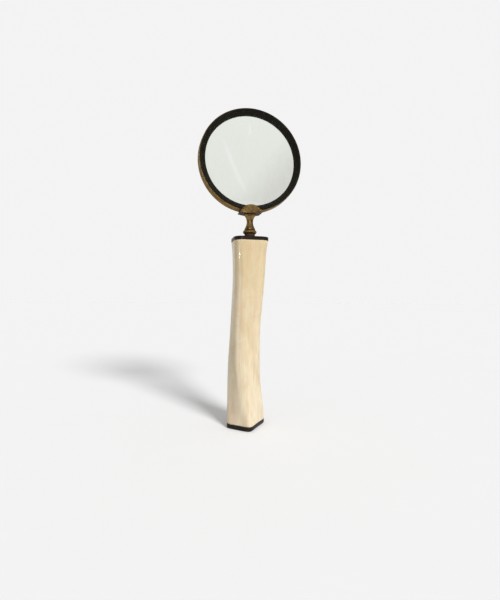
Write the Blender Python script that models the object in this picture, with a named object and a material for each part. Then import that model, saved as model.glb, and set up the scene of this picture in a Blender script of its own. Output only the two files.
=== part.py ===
"""Upright magnifying glass: lens head on a turned stem that unscrews from a bone handle.

Metres, +Z up. The origin is the middle of the handle's underside, and the lens faces -Y.
"""
import math

import bmesh
import bpy
from mathutils import Vector

MM = 0.001

# Driving dimensions, in millimetres.
LENS_RADIUS = 38.9
LENS_EDGE = 1.5
LENS_CURVE_RADIUS = 236.0
RIM_RADIUS = 43.5
RIM_FRONT_RADIUS = 42.6
RIM_BORE = 40.6
RIM_WIDTH = 9.6
RIM_CHAMFER = 0.3
GROOVE_DEPTH = 0.4
GROOVE_WIDTH = 0.8
GROOVE_FROM_REAR = 1.8
APERTURE_RADIUS = 37.9
BEZEL_FLANGE = 0.7
BEZEL_INSET = 0.1
BEZEL_LAND = 1.3
BEZEL_LIP = 0.3
BEZEL_BEND = 1.0
GASKET_SPACE = 0.65
GASKET_INNER_STEP = 0.2
GASKET_OUTER_STEP = 0.1
RING_CENTRE_HEIGHT = 215.6
HEAD_OFFSET = 1.8
HANDLE_HEIGHT = 150.7
TOP_PLATE_THICKNESS = 2.8
TOP_PLATE_ROUNDING = 0.5
BOTTOM_PLATE_THICKNESS = 3.4
BOTTOM_PLATE_ROUNDING = 1.4
GAP = 0.15
CUT_OVERRUN = 1.0

SADDLE_THICKNESS = 1.6
LOBE_RADIUS = 9.8
LOBE_DROP = 2.4
LOBE_THICKNESS = 1.3
LOBE_DOME = 1.1
LOBE_DOME_RADIUS = 7.8
SADDLE_SCREW_RADIUS = 1.5
SADDLE_SCREW_HEAD_RADIUS = 2.3
SADDLE_SCREW_DEPTH = 5.0

WASHER_RADIUS = 4.4
WASHER_THICKNESS = 1.6
COLLAR_RADIUS = 4.3
COLLAR_HEIGHT = 1.5
BEAD_RADIUS = 5.6
BEAD_HEIGHT = 3.2
FOOT_RADIUS = 4.4
FOOT_HEIGHT = 1.6
NECK_RADIUS = 2.6
NECK_HEIGHT = 11.6
FLARE_RADIUS = 4.9
FLARE_LIP = 0.5
STUD_RADIUS = 3.0
STUD_HOLE_RADIUS = 3.45
STUD_CHAMFER = 1.0
SHANK_RELIEF = 0.3
SHANK_CONE_LOW = 0.1
SHANK_CONE_HIGH = 0.8
THREAD_DEPTH = 0.6
THREAD_PITCH = 1.0
THREAD_CLEARANCE = 0.09
STUD_IN_HANDLE = 13.0
THREAD_LEAD_IN = 3
STUD_IN_STEM = 5.0
INSERT_RADIUS = 4.6
INSERT_FLANGE_RADIUS = 5.6
INSERT_FLANGE_THICKNESS = 1.0
INSERT_LENGTH = 13.0

CORE_RADIUS = 6.6
CORE_LEAN = 4.0
PIN_RADIUS = 1.0
PIN_LENGTH = 6.0
PIN_IN_PLATE = 1.5
PIN_SPREAD = 9.6

RING_STEPS = 56
TURNED_STEPS = 24
THREAD_STEPS = 16
PIN_STEPS = 12
SECTION_STEPS = 48
ROUNDING_STEPS = 3
ROWS_PER_STATION = 3

# The grip is a round shaft with four carved flats. Its stations: height, sideways offset, radius
# of the round, distance to the front and rear flats, distance to the side flats, turn in degrees.
GRIP_STATIONS = (
    (0.0, 0.4, 16.9, 11.0, 14.4, 54.0),
    (20.0, -0.9, 14.2, 11.4, 12.5, 35.0),
    (45.0, -1.9, 13.1, 11.4, 11.8, 22.0),
    (80.0, -1.0, 12.7, 11.6, 11.6, 6.0),
    (115.0, 1.1, 14.1, 12.4, 12.4, -1.0),
    (140.0, 1.5, 15.6, 13.2, 13.3, -2.0),
    (HANDLE_HEIGHT, 1.8, 17.2, 13.9, 14.7, -2.0),
)
RIDGE_SHARPNESS = 24

# Colour, roughness and metallic value of each material.
FINISHES = {
    "antique_brass": ((0.30, 0.20, 0.085), 0.38, 1.0),
    "black_enamel": ((0.014, 0.013, 0.011), 0.42, 0.0),
    "optical_glass": ((0.80, 0.86, 0.80), 0.03, 0.0),
    "gasket_rubber": ((0.02, 0.02, 0.02), 0.8, 0.0),
    "steel": ((0.55, 0.55, 0.55), 0.3, 1.0),
    "dark_fibre": ((0.03, 0.022, 0.015), 0.6, 0.0),
    "dark_horn": ((0.022, 0.016, 0.013), 0.35, 0.0),
    "polished_bone": ((0.80, 0.70, 0.50), 0.35, 0.0),
    "hardwood": ((0.42, 0.26, 0.13), 0.6, 0.0),
    "plain_brass": ((0.62, 0.46, 0.20), 0.35, 1.0),
}


# ---------------------------------------------------------------- scene, materials and objects

def clear_scene():
    for old in list(bpy.data.objects):
        bpy.data.objects.remove(old, do_unlink=True)


def make_material(name):
    colour, roughness, metallic = FINISHES[name]
    material = bpy.data.materials.new(name)
    material.use_nodes = True
    shader = material.node_tree.nodes["Principled BSDF"]
    shader.inputs["Base Color"].default_value = (*colour, 1.0)
    shader.inputs["Roughness"].default_value = roughness
    shader.inputs["Metallic"].default_value = metallic
    return material


def finish_mesh(bm, name, smooth_angle=math.radians(32)):
    """Turn a bmesh into a mesh with outward faces, smooth where its faces meet at small angles."""
    bmesh.ops.recalc_face_normals(bm, faces=bm.faces)
    mesh = bpy.data.meshes.new(name)
    bm.to_mesh(mesh)
    bm.free()
    mesh.shade_smooth()
    mesh.set_sharp_from_angle(angle=smooth_angle)
    return mesh


def add_object(name, mesh, material, parent, location=(0, 0, 0), rotation=(0, 0, 0)):
    piece = bpy.data.objects.new(name, mesh)
    bpy.context.scene.collection.objects.link(piece)
    piece.parent = parent
    piece.location = Vector(location) * MM
    piece.rotation_euler = rotation
    if material:
        mesh.materials.append(materials[material])
    return piece


def add_empty(name, location, parent=None, rotation=(0, 0, 0)):
    empty = bpy.data.objects.new(name, None)
    bpy.context.scene.collection.objects.link(empty)
    empty.parent = parent
    empty.location = Vector(location) * MM
    empty.rotation_euler = rotation
    return empty


def add_cutter(name, mesh, parent, location=(0, 0, 0), rotation=(0, 0, 0)):
    cutter = add_object(name, mesh, None, parent, location, rotation)
    cutter.hide_render = True
    cutter.display_type = "WIRE"
    return cutter


def cut(piece, cutter, operation="DIFFERENCE"):
    modifier = piece.modifiers.new(cutter.name, "BOOLEAN")
    modifier.operation = operation
    modifier.solver = "EXACT"
    modifier.object = cutter


# ---------------------------------------------------------------- shapes

def turned_mesh(name, outline, steps=TURNED_STEPS):
    """Turn an outline of (radius, height) points about Z. It is closed unless it ends on the axis."""
    bm = bmesh.new()
    verts = [bm.verts.new(Vector((radius, 0, height)) * MM) for radius, height in outline]
    pairs = list(zip(verts, verts[1:]))
    if outline[0][0] > 0 or outline[-1][0] > 0:
        pairs.append((verts[-1], verts[0]))
    edges = [bm.edges.new(pair) for pair in pairs]
    bmesh.ops.spin(bm, geom=verts + edges, cent=(0, 0, 0), axis=(0, 0, 1), angle=2 * math.pi,
                   steps=steps, use_merge=True, use_duplicate=False)
    bmesh.ops.remove_doubles(bm, verts=bm.verts, dist=0.001 * MM)
    return finish_mesh(bm, name)


def rod_mesh(name, radius, low, high, steps=TURNED_STEPS):
    return turned_mesh(name, ((0, low), (radius, low), (radius, high), (0, high)), steps)


def lofted_mesh(name, loops):
    """Skin closed loops of points, bottom to top, and close both ends."""
    bm = bmesh.new()
    rings = [[bm.verts.new(Vector(point) * MM) for point in loop] for loop in loops]
    for lower, upper in zip(rings, rings[1:]):
        for i in range(len(lower)):
            j = (i + 1) % len(lower)
            bm.faces.new((lower[i], lower[j], upper[j], upper[i]))
    bm.faces.new(reversed(rings[0]))
    bm.faces.new(rings[-1])
    return finish_mesh(bm, name)


def arc_points(centre, radius, start, end, count):
    """Points along an arc, angles in degrees from +X towards +Z."""
    points = []
    for i in range(count + 1):
        angle = math.radians(start + (end - start) * i / count)
        points.append((centre[0] + radius * math.cos(angle), centre[1] + radius * math.sin(angle)))
    return points


def cap_height(sphere_radius, rim_radius, radius):
    """Height of a spherical cap above its rim, at a distance from its axis."""
    return math.sqrt(sphere_radius**2 - radius**2) - math.sqrt(sphere_radius**2 - rim_radius**2)


def sphere_radius(rim_radius, rise):
    """Radius of the sphere whose cap has this rim and this rise."""
    return (rim_radius**2 + rise**2) / (2 * rise)


def thread_mesh(name, crest_radius, low, high):
    """A right-handed screw thread about Z, whose rows follow the helix, with a fan at each end."""
    root_radius = crest_radius - THREAD_DEPTH
    profile = (root_radius, root_radius, crest_radius, crest_radius)
    rows_per_turn = len(profile)
    turns = int(math.ceil((high - low) / THREAD_PITCH))
    rows = turns * rows_per_turn
    bm = bmesh.new()
    columns = []
    for i in range(THREAD_STEPS):
        share = i / THREAD_STEPS
        angle = 2 * math.pi * share
        column = []
        for row in range(rows + rows_per_turn + 1 if i == 0 else rows + 1):
            radius = profile[row % rows_per_turn]
            height = low + THREAD_PITCH * (row / rows_per_turn + share)
            point = Vector((radius * math.cos(angle), radius * math.sin(angle), height))
            column.append(bm.verts.new(point * MM))
        columns.append(column)
    bottom = bm.verts.new(Vector((0, 0, low)) * MM)
    top = bm.verts.new(Vector((0, 0, low + THREAD_PITCH * (turns + 1))) * MM)
    for i in range(THREAD_STEPS):
        last = i == THREAD_STEPS - 1
        here = columns[i]
        beside = columns[0][rows_per_turn:] if last else columns[i + 1]
        for row in range(rows):
            bm.faces.new((here[row], beside[row], beside[row + 1], here[row + 1]))
        bm.faces.new((bottom, beside[0], here[0]))
        bm.faces.new((top, here[rows], beside[rows]))
    for row in range(rows_per_turn):
        bm.faces.new((bottom, columns[0][row], columns[0][row + 1]))
        bm.faces.new((top, columns[0][rows + row + 1], columns[0][rows + row]))
    return finish_mesh(bm, name)


# ---------------------------------------------------------------- the grip's flowing section

def grip_values(height):
    """Offset, round, flats and turn at a height, on a smooth curve through the stations."""
    heights = [station[0] for station in GRIP_STATIONS]
    last = len(heights) - 1
    index = max(i for i in range(last) if heights[i] <= height)
    start, end = GRIP_STATIONS[index], GRIP_STATIONS[index + 1]
    before, after = GRIP_STATIONS[max(index - 1, 0)], GRIP_STATIONS[min(index + 2, last)]
    span = end[0] - start[0]
    t = (height - start[0]) / span
    values = []
    for k in range(1, len(start)):
        slope_in = (end[k] - before[k]) / (end[0] - before[0]) * span
        slope_out = (after[k] - start[k]) / (after[0] - start[0]) * span
        value = (2 * t**3 - 3 * t**2 + 1) * start[k] + (t**3 - 2 * t**2 + t) * slope_in
        values.append(value + (3 * t**2 - 2 * t**3) * end[k] + (t**3 - t**2) * slope_out)
    return values


def grip_outline(height):
    """The grip's (x, y) outline: the round and the flats, blended into ridges where they meet."""
    offset, round_radius, front_flat, side_flat, turn = grip_values(height)
    outline = []
    for i in range(SECTION_STEPS):
        angle = 2 * math.pi * i / SECTION_STEPS
        walls = (1 / round_radius, abs(math.cos(angle)) / side_flat, abs(math.sin(angle)) / front_flat)
        reach = sum(wall**RIDGE_SHARPNESS for wall in walls) ** (-1 / RIDGE_SHARPNESS)
        turned = angle + math.radians(turn)
        outline.append((offset + reach * math.cos(turned), reach * math.sin(turned)))
    return outline


def plate_mesh(name, inner, outer, rounding):
    """A horn plate: the grip's end outline, with a rounded edge to its outer face."""
    offset, half_width = grip_values(inner)[0], grip_values(inner)[2]
    outline = grip_outline(inner)
    step = math.copysign(rounding, outer - inner)
    loops = [[(x, y, inner) for x, y in outline]]
    for i in range(ROUNDING_STEPS + 1):
        angle = math.pi / 2 * i / ROUNDING_STEPS
        height = outer - step * (1 - math.sin(angle))
        shrink = 1 - rounding * (1 - math.cos(angle)) / half_width
        loops.append([(offset + (x - offset) * shrink, y * shrink, height) for x, y in outline])
    return lofted_mesh(name, loops if outer > inner else loops[::-1])


# ---------------------------------------------------------------- handle

def build_handle(parent):
    grip_low = BOTTOM_PLATE_THICKNESS + GAP
    plate_low = HANDLE_HEIGHT - TOP_PLATE_THICKNESS
    grip_high = plate_low - GAP
    rows = ROWS_PER_STATION * (len(GRIP_STATIONS) - 1)
    heights = [grip_low + (grip_high - grip_low) * i / rows for i in range(rows + 1)]
    loops = [[(x, y, height) for x, y in grip_outline(height)] for height in heights]
    grip = add_object("grip", lofted_mesh("grip", loops), "polished_bone", parent)
    core = add_object("core", core_mesh("core", CORE_RADIUS, grip_low, grip_high), "hardwood", parent)
    bore = core_mesh("grip_bore", CORE_RADIUS + GAP, -CUT_OVERRUN, HANDLE_HEIGHT + CUT_OVERRUN)
    cut(grip, add_cutter("grip_bore", bore, parent))

    bottom = add_object("bottom_plate", plate_mesh("bottom_plate", BOTTOM_PLATE_THICKNESS, 0,
                                                   BOTTOM_PLATE_ROUNDING), "dark_horn", parent)
    top = add_object("top_plate", plate_mesh("top_plate", plate_low, HANDLE_HEIGHT,
                                             TOP_PLATE_ROUNDING), "dark_horn", parent)
    hole = rod_mesh("top_plate_hole", STUD_HOLE_RADIUS, plate_low - CUT_OVERRUN,
                    HANDLE_HEIGHT + CUT_OVERRUN)
    cut(top, add_cutter("top_plate_hole", hole, parent, (HEAD_OFFSET, 0, 0)))
    add_insert(parent, core, grip_high)
    add_pin(parent, grip, top, "top_pin_left", (HEAD_OFFSET - PIN_SPREAD, 0), grip_high, 1)
    add_pin(parent, grip, top, "top_pin_right", (HEAD_OFFSET + PIN_SPREAD, 0), grip_high, 1)
    core_foot = HEAD_OFFSET - CORE_LEAN
    add_pin(parent, grip, bottom, "bottom_pin_front", (core_foot, -PIN_SPREAD), grip_low, -1)
    add_pin(parent, grip, bottom, "bottom_pin_rear", (core_foot, PIN_SPREAD), grip_low, -1)


def core_mesh(name, radius, low, high):
    """A straight dowel that leans with the handle, cut level at both ends."""
    loops = []
    for height in (low, high):
        centre = HEAD_OFFSET - CORE_LEAN * (HANDLE_HEIGHT - height) / HANDLE_HEIGHT
        circle = arc_points((centre, 0), radius, 0, 360, TURNED_STEPS)[:-1]
        loops.append([(x, y, height) for x, y in circle])
    return lofted_mesh(name, loops)


def add_insert(parent, core, top_height):
    """The threaded brass insert, flush with the core's upper end."""
    low = top_height - INSERT_LENGTH
    flange_low = top_height - INSERT_FLANGE_THICKNESS
    outline = ((0, low), (INSERT_RADIUS, low), (INSERT_RADIUS, flange_low),
               (INSERT_FLANGE_RADIUS, flange_low), (INSERT_FLANGE_RADIUS, top_height),
               (0, top_height))
    place = (HEAD_OFFSET, 0, 0)
    insert = add_object("insert", turned_mesh("insert", outline, TURNED_STEPS), "plain_brass",
                        parent, place)
    thread = thread_mesh("insert_thread", STUD_RADIUS + THREAD_CLEARANCE, thread_low(),
                         top_height + 2 * THREAD_PITCH)
    cut(insert, add_cutter("insert_thread", thread, parent, place))

    mouth = top_height + CUT_OVERRUN
    pocket = ((0, low - GAP), (INSERT_RADIUS + GAP, low - GAP),
              (INSERT_RADIUS + GAP, flange_low - GAP), (INSERT_FLANGE_RADIUS + GAP, flange_low - GAP),
              (INSERT_FLANGE_RADIUS + GAP, mouth), (0, mouth))
    cut(core, add_cutter("insert_pocket", turned_mesh("insert_pocket", pocket), parent, place))


def add_pin(parent, grip, plate, name, place, grip_end, direction):
    """A peg that keeps an end plate from turning on the grip."""
    plate_end = grip_end + direction * (GAP + PIN_IN_PLATE)
    low, high = sorted((plate_end, plate_end - direction * PIN_LENGTH))
    add_object(name, rod_mesh(name, PIN_RADIUS, low, high, PIN_STEPS), "polished_bone", parent,
               (*place, 0))
    hole = rod_mesh(name + "_hole", PIN_RADIUS + GAP, low - GAP, high + GAP, PIN_STEPS)
    cutter = add_cutter(name + "_hole", hole, parent, (*place, 0))
    cut(grip, cutter)
    cut(plate, cutter)


# ---------------------------------------------------------------- stem, washer and stud

def washer_top():
    return HANDLE_HEIGHT + GAP + WASHER_THICKNESS


def thread_low():
    """Height where the stud's and the insert's threads both start, so that they are in mesh."""
    return HANDLE_HEIGHT - STUD_IN_HANDLE - THREAD_LEAD_IN * THREAD_PITCH


def build_washer(parent):
    low = HANDLE_HEIGHT + GAP
    bore = STUD_RADIUS + 2 * GAP
    outline = ((bore, low), (WASHER_RADIUS, low), (WASHER_RADIUS, washer_top()), (bore, washer_top()))
    add_object("seat_washer", turned_mesh("seat_washer", outline), "dark_fibre", parent)


def cove_points(neck, end, count=7):
    """An arc from the neck, where it is upright, out to a wider end."""
    rise = end[1] - neck[1]
    radius = sphere_radius(abs(rise), end[0] - neck[0])
    points = []
    for i in range(count + 1):
        height = rise * i / count
        points.append((neck[0] + radius - math.sqrt(radius**2 - height**2), neck[1] + height))
    return points


def build_stem(parent):
    """The lathe-turned baluster: collar, bead, foot, neck and flare, bored at both ends."""
    low = washer_top() + GAP
    high = RING_CENTRE_HEIGHT - RIM_RADIUS - SADDLE_THICKNESS - 2 * GAP
    stud_bore = STUD_RADIUS + GAP
    screw_bore = SADDLE_SCREW_RADIUS + GAP
    stud_stop = low + STUD_IN_STEM + GAP
    screw_stop = high - SADDLE_SCREW_DEPTH - GAP
    half_bead = BEAD_HEIGHT / 2
    bead_low = low + COLLAR_HEIGHT
    step = bead_low + BEAD_HEIGHT
    neck = (NECK_RADIUS, low + NECK_HEIGHT)
    bead = arc_points((BEAD_RADIUS - half_bead, bead_low + half_bead), half_bead, -75, 75, 6)
    lower_sweep = cove_points(neck, (FOOT_RADIUS, step + FOOT_HEIGHT))
    upper_sweep = cove_points(neck, (FLARE_RADIUS, high - FLARE_LIP))
    outline = [(0, stud_stop), (stud_bore, stud_stop), (stud_bore, low), (COLLAR_RADIUS, low)]
    outline += [(COLLAR_RADIUS, bead_low), *bead, (FOOT_RADIUS, step), *reversed(lower_sweep)]
    outline += [*upper_sweep[1:], (FLARE_RADIUS, high), (screw_bore, high), (screw_bore, screw_stop)]
    outline.append((0, screw_stop))
    add_object("stem", turned_mesh("stem", outline), "antique_brass", parent)


def build_stud(parent):
    """The stud: a right-handed thread below the washer, a plain shank above it."""
    low = HANDLE_HEIGHT - STUD_IN_HANDLE
    shank_low = HANDLE_HEIGHT - TOP_PLATE_THICKNESS
    high = washer_top() + GAP + STUD_IN_STEM
    thread = thread_mesh("stud", STUD_RADIUS, thread_low(), shank_low + THREAD_PITCH)
    stud = add_object("stud", thread, "steel", parent)
    between_steps = (0, 0, math.pi / TURNED_STEPS)
    root = STUD_RADIUS - THREAD_DEPTH
    wide = root + STUD_CHAMFER
    blank = ((0, low), (root, low), (wide, low + STUD_CHAMFER), (wide, shank_low), (0, shank_low))
    cut(stud, add_cutter("stud_blank", turned_mesh("stud_blank", blank), parent,
                         rotation=between_steps), "INTERSECT")
    relief = root - SHANK_RELIEF
    relief_low = shank_low - CUT_OVERRUN
    shank = ((0, relief_low), (relief, relief_low), (relief, shank_low + SHANK_CONE_LOW),
             (STUD_RADIUS, shank_low + SHANK_CONE_HIGH), (STUD_RADIUS, high), (0, high))
    cut(stud, add_cutter("stud_shank", turned_mesh("stud_shank", shank), parent,
                         rotation=between_steps), "UNION")


# ---------------------------------------------------------------- the ring, built about its own Z

def rim_taper():
    """Heights between which the band narrows, from its groove to its front edge."""
    return (GROOVE_FROM_REAR + GROOVE_WIDTH - RIM_WIDTH / 2,
            RIM_WIDTH / 2 - BEZEL_FLANGE - GAP - RIM_CHAMFER)


def band_bevel(rim_radius):
    """(radius, height) corners of the bevel inside an end of the band, under a bezel's slope."""
    half = rim_taper()[1] + RIM_CHAMFER
    bend = rim_radius - BEZEL_INSET - BEZEL_BEND + GAP / 2
    return (bend, half), (RIM_BORE, half - bezel_fall(rim_radius) * (bend - RIM_BORE))


def build_rim_band(parent, screw_hole):
    """The brass band, a little wider at the rear, with a decorative groove near its rear edge."""
    groove_high, taper_end = rim_taper()
    half = taper_end + RIM_CHAMFER
    groove = RIM_RADIUS - GROOVE_DEPTH
    groove_low = groove_high - GROOVE_WIDTH
    rear_bevel = [(radius, -height) for radius, height in band_bevel(RIM_RADIUS)]
    outline = (*reversed(rear_bevel), (RIM_RADIUS - RIM_CHAMFER, -half), (RIM_RADIUS, RIM_CHAMFER - half),
               (RIM_RADIUS, groove_low), (groove, groove_low + GROOVE_WIDTH / 4),
               (groove, groove_high - GROOVE_WIDTH / 4), (RIM_RADIUS, groove_high),
               (RIM_FRONT_RADIUS, taper_end), (RIM_FRONT_RADIUS - RIM_CHAMFER, half),
               *band_bevel(RIM_FRONT_RADIUS))
    band = add_object("rim_band", turned_mesh("rim_band", outline, RING_STEPS), "antique_brass", parent)
    cut(band, screw_hole)


def bezel_seat():
    """Height of the shoulder that bears on a gasket."""
    return LENS_EDGE / 2 + GASKET_SPACE


def bezel_fall(rim_radius):
    """How far a bezel's slope falls for each millimetre towards the lens."""
    land = rim_radius - BEZEL_INSET - BEZEL_LAND
    return (RIM_WIDTH / 2 - bezel_seat() - BEZEL_LIP) / (land - APERTURE_RADIUS)


def bezel_outline(rim_radius):
    """Half section of a bezel: a flange over the band's end, a slope in to the lens, a spigot."""
    face = RIM_WIDTH / 2
    flange_low = face - BEZEL_FLANGE
    flange = rim_radius - BEZEL_INSET
    bend = flange - BEZEL_BEND
    seat = bezel_seat()
    spigot_outer = RIM_BORE - GAP
    spigot_inner = LENS_RADIUS + GAP
    spigot_high = flange_low - bezel_fall(rim_radius) * (bend - spigot_outer)
    return ((flange, flange_low), (flange, face - BEZEL_LIP), (flange - BEZEL_LIP, face),
            (flange - BEZEL_LAND, face), (APERTURE_RADIUS, seat + BEZEL_LIP), (APERTURE_RADIUS, seat),
            (spigot_inner, seat), (spigot_inner, GAP), (spigot_outer, GAP),
            (spigot_outer, spigot_high), (bend, flange_low))


def build_bezels(parent):
    front = turned_mesh("bezel_front", bezel_outline(RIM_FRONT_RADIUS), RING_STEPS)
    add_object("bezel_front", front, "black_enamel", parent)
    rear = turned_mesh("bezel_rear", bezel_outline(RIM_RADIUS), RING_STEPS)
    add_object("bezel_rear", rear, "black_enamel", parent, rotation=(math.pi, 0, 0))


def lens_face_height(radius):
    """Height of the lens's spherical face above its mid plane."""
    return LENS_EDGE / 2 + cap_height(LENS_CURVE_RADIUS, LENS_RADIUS, radius)


def build_gaskets(parent):
    """Thin rings, bevelled to the lens's curve, between the glass and the bezels."""
    inner = APERTURE_RADIUS + GASKET_INNER_STEP
    outer = LENS_RADIUS - GASKET_OUTER_STEP
    clear = GAP / 2
    outline = ((inner, lens_face_height(inner) + clear), (outer, lens_face_height(outer) + clear),
               (outer, bezel_seat() - clear), (inner, bezel_seat() - clear))
    mesh = turned_mesh("gasket", outline, RING_STEPS)
    add_object("lens_gasket_front", mesh, "gasket_rubber", parent)
    add_object("lens_gasket_rear", mesh.copy(), None, parent, rotation=(math.pi, 0, 0))


def build_lens(parent):
    """A biconvex lens: two spherical faces and a flat ground edge."""
    rings = 6
    radii = [LENS_RADIUS * i / rings for i in range(rings + 1)]
    face = [(radius, lens_face_height(radius)) for radius in radii]
    outline = face + [(radius, -height) for radius, height in reversed(face)]
    add_object("lens", turned_mesh("lens", outline, RING_STEPS), "optical_glass", parent)


def build_saddle(parent, screw_hole):
    """The seat under the rim: a domed puck whose top half is slotted for the rim."""
    seat_radius = RIM_RADIUS + GAP
    under_radius = seat_radius + SADDLE_THICKNESS
    lobe_centre = under_radius + LOBE_DROP
    slot_half = RIM_WIDTH / 2 + GAP
    flat = slot_half + LOBE_THICKNESS
    bevel = LOBE_THICKNESS / 3
    dome_sphere = sphere_radius(LOBE_DOME_RADIUS, LOBE_DOME)
    dome_radii = [LOBE_DOME_RADIUS * i / 4 for i in range(5)]
    upper = [(r, flat + cap_height(dome_sphere, LOBE_DOME_RADIUS, r)) for r in dome_radii]
    upper += [(LOBE_RADIUS - bevel, flat), (LOBE_RADIUS, flat - bevel)]
    outline = upper + [(radius, -height) for radius, height in reversed(upper)]
    saddle = add_object("saddle", turned_mesh("saddle", outline, 2 * TURNED_STEPS), "antique_brass",
                        parent, (0, -lobe_centre, 0))
    body = rod_mesh("saddle_body", under_radius, -RIM_WIDTH * 2, RIM_WIDTH * 2, 2 * RING_STEPS)
    taper_start, taper_end = rim_taper()
    front_radius = RIM_FRONT_RADIUS + GAP
    slot_outline = ((0, -slot_half), (seat_radius, -slot_half), (seat_radius, taper_start),
                    (front_radius, taper_end), (front_radius, slot_half), (0, slot_half))
    slot = turned_mesh("saddle_slot", slot_outline, 2 * RING_STEPS)
    cut(saddle, add_cutter("saddle_body", body, parent), "INTERSECT")
    cut(saddle, add_cutter("saddle_slot", slot, parent))
    cut(saddle, screw_hole)


def build_saddle_screw(parent):
    """A countersunk screw from inside the rim, through the saddle, into the stem."""
    head = RIM_BORE + GAP
    cone = SADDLE_SCREW_HEAD_RADIUS - SADDLE_SCREW_RADIUS
    tip = RIM_RADIUS + SADDLE_THICKNESS + 2 * GAP + SADDLE_SCREW_DEPTH
    down = (math.pi / 2, 0, 0)
    point = SADDLE_SCREW_RADIUS / 3
    outline = ((0, head), (SADDLE_SCREW_HEAD_RADIUS, head), (SADDLE_SCREW_RADIUS, head + cone),
               (SADDLE_SCREW_RADIUS, tip - point), (SADDLE_SCREW_RADIUS - point, tip), (0, tip))
    add_object("saddle_screw", turned_mesh("saddle_screw", outline), "steel", parent, rotation=down)
    mouth = SADDLE_SCREW_HEAD_RADIUS + GAP
    shaft = SADDLE_SCREW_RADIUS + GAP
    start = head - CUT_OVERRUN
    end = tip + CUT_OVERRUN
    hole = ((0, start), (mouth, start), (mouth, head + GAP), (shaft, head + cone + GAP),
            (shaft, end), (0, end))
    return add_cutter("saddle_screw_hole", turned_mesh("saddle_screw_hole", hole), parent,
                      rotation=down)


def build_head(parent):
    """The ring's parts turn about local Z, which points forward, with local Y up."""
    ring = add_empty("ring_frame", (0, 0, RING_CENTRE_HEIGHT), parent, (math.pi / 2, 0, 0))
    screw_hole = build_saddle_screw(ring)
    build_rim_band(ring, screw_hole)
    build_bezels(ring)
    build_gaskets(ring)
    build_lens(ring)
    build_saddle(ring, screw_hole)
    build_stem(parent)
    build_stud(parent)


clear_scene()
materials = {finish: make_material(finish) for finish in FINISHES}
handle_frame = add_empty("handle_frame", (0, 0, 0))
rise_frame = add_empty("rise_frame", (HEAD_OFFSET, 0, 0), handle_frame)
turn_frame = add_empty("turn_frame", (0, 0, 0), rise_frame)
build_handle(handle_frame)
build_washer(rise_frame)
build_head(turn_frame)
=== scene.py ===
"""Looks for the upright magnifying glass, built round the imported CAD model.

The frame gives the places and sizes, in metres. Fine meshes stand in for the pieces that show,
the hidden pieces stay as they are, and every material is made of procedural nodes. Lengths in
this script are in millimetres until a mesh or an object is made from them.
"""

import math

import bmesh
import bpy
import numpy as np
from mathutils import Matrix, Vector, noise


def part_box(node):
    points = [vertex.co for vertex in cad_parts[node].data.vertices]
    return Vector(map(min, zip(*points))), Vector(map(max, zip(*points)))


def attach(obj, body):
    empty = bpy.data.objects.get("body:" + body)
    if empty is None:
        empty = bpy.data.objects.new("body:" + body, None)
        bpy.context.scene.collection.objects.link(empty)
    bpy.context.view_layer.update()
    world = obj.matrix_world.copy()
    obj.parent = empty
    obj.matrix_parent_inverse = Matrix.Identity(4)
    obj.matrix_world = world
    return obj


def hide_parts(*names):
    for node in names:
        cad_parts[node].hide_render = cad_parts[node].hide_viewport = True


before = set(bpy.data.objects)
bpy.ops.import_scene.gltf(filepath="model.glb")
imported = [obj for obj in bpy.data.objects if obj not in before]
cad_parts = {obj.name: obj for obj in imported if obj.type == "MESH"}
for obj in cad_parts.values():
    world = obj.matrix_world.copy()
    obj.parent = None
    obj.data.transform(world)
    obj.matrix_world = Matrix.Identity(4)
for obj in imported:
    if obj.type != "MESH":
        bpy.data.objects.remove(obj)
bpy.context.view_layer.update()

MM = 0.001
CLEARANCE = 0.15
CUT_OVERRUN = 1.0           # cutters reach this far past what they cut
OFF_GRID = (0, 0, 0.047)    # turn that keeps a cutter's corners off the corners of what it cuts
WELD_REACH = 0.001
LEVEL_TOLERANCE = 0.02      # corners this near to a height belong to it

# Mesh density.
RING_STEPS = 256
TURNED_STEPS = 128
THREAD_STEPS = 64
THREAD_ROWS = 20
GRIP_COLUMNS = 240
GRIP_ROWS = 300
FILLET_STEPS = 6
FILLET_SHARE = 0.4          # the most of a side that the arc at its end may take
FILLET_SUPPORT = 1.2
BEZEL_STEPS = 8
LENS_STEPS = 32
DOME_STEPS = 12
BEAD_STEPS = 8
SWEEP_STEPS = 16
SADDLE_STEPS = 256
SADDLE_CUT_STEPS = 512
SCREW_HOLE_STEPS = 48
PIN_HOLE_STEPS = 24
PLATE_ROUNDING_STEPS = 8

# Details of the head that the frame's boxes don't give.
BEZEL_LAND = 1.2
BEZEL_HOLLOW = 0.22
BEZEL_BEND = 1.0
BEZEL_EDGE = 0.4
GROOVE_DEPTH = 0.4
GROOVE_WIDTH = 0.8
GROOVE_FROM_REAR = 1.1
LENS_EDGE = 1.5
SADDLE_THICKNESS = 1.6
LOBE_RADIUS = 9.8
LOBE_DROP = 2.4
LOBE_DOME = 1.0
LOBE_BEAD = 0.9
LOBE_BEAD_SINK = 0.25
LOBE_GROOVE = 0.12
SADDLE_BLANK_DEPTH = 20.0
PLAIN_SHAFT = 1.5           # this much of the saddle screw's lower end is surely plain shaft
SADDLE_VOXEL = 0.11

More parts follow.
